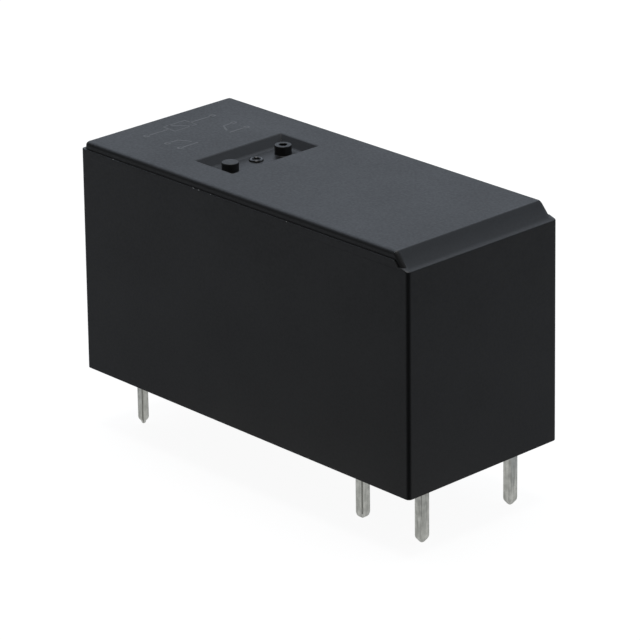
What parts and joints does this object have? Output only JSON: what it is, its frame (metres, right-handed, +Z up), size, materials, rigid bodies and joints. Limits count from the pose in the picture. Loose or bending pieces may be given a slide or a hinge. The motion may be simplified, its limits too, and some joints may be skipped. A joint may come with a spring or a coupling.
{
  "type": "pcb power relay",
  "caption": "Low-profile power relay for a printed circuit board: black box-shaped cover with a chamfered end and a vent recess, tinned pins below, coil, armature, card and contacts inside.",
  "frame": {"origin": "under the middle of the cover, level with the tips of the pins", "axes": "+X along the relay from the coil end to the contact end, +Y across it, +Z up from the board"},
  "size_m": [0.0288, 0.0126, 0.019],
  "materials": {
    "cover_plastic": "black moulded thermoplastic, fine satin",
    "base_plastic": "black moulded thermoplastic",
    "resin": "cured black epoxy, slightly glossy",
    "bobbin_plastic": "moulded glass-filled thermoplastic",
    "copper_wire": "enamelled copper wire",
    "soft_iron": "plated soft iron",
    "spring_steel": "rolled spring steel",
    "card_plastic": "natural moulded thermoplastic",
    "tinned_pin": "tin-plated copper alloy, satin",
    "contact_spring": "rolled copper-alloy strip",
    "silver_alloy": "silver-alloy contact rivet"
  },
  "bodies": {
    "housing": {"cover": "cover_plastic", "base": "base_plastic", "sealing_resin": "resin", "bobbin": "bobbin_plastic", "coil_winding": "copper_wire", "core": "soft_iron", "yoke": "soft_iron", "hinge_spring": "spring_steel", "coil_terminal_near": "tinned_pin", "coil_terminal_far": "tinned_pin", "moving_terminal_near": "tinned_pin", "moving_terminal_far": "tinned_pin", "fixed_terminal_near": "tinned_pin", "fixed_terminal_far": "tinned_pin", "fixed_contact_near": "silver_alloy", "fixed_contact_far": "silver_alloy"},
    "armature": {"armature": "soft_iron"},
    "card": {"card": "card_plastic"},
    "near_spring": {"moving_spring_near": "contact_spring", "moving_contact_near": "silver_alloy"},
    "far_spring": {"moving_spring_far": "contact_spring", "moving_contact_far": "silver_alloy"}
  },
  "joints": [
    {"name": "card_slide", "type": "slide", "parent": "housing", "child": "card", "axis": [1, 0, 0], "range_m": [0, 0.0008], "stiffness_N_per_m": 60, "springref_m": -0.002},
    {"name": "armature_tip", "type": "hinge", "parent": "housing", "child": "armature", "pos_m": [-0.01142, 0, 0.0057], "axis": [0, 1, 0], "range_deg": [0, 4.27]},
    {"name": "near_spring_bend", "type": "hinge", "parent": "housing", "child": "near_spring", "pos_m": [0.00749, 0, 0.00825], "axis": [0, 1, 0], "range_deg": [0, 5.6]},
    {"name": "far_spring_bend", "type": "hinge", "parent": "housing", "child": "far_spring", "pos_m": [0.00749, 0, 0.00825], "axis": [0, 1, 0], "range_deg": [0, 5.6]}
  ],
  "couplings": [
    {"joint": "armature_tip", "follows": "card_slide", "rad_per_m": 93.24},
    {"joint": "near_spring_bend", "follows": "card_slide", "rad_per_m": 122.23},
    {"joint": "far_spring_bend", "follows": "card_slide", "rad_per_m": 122.23}
  ]
}
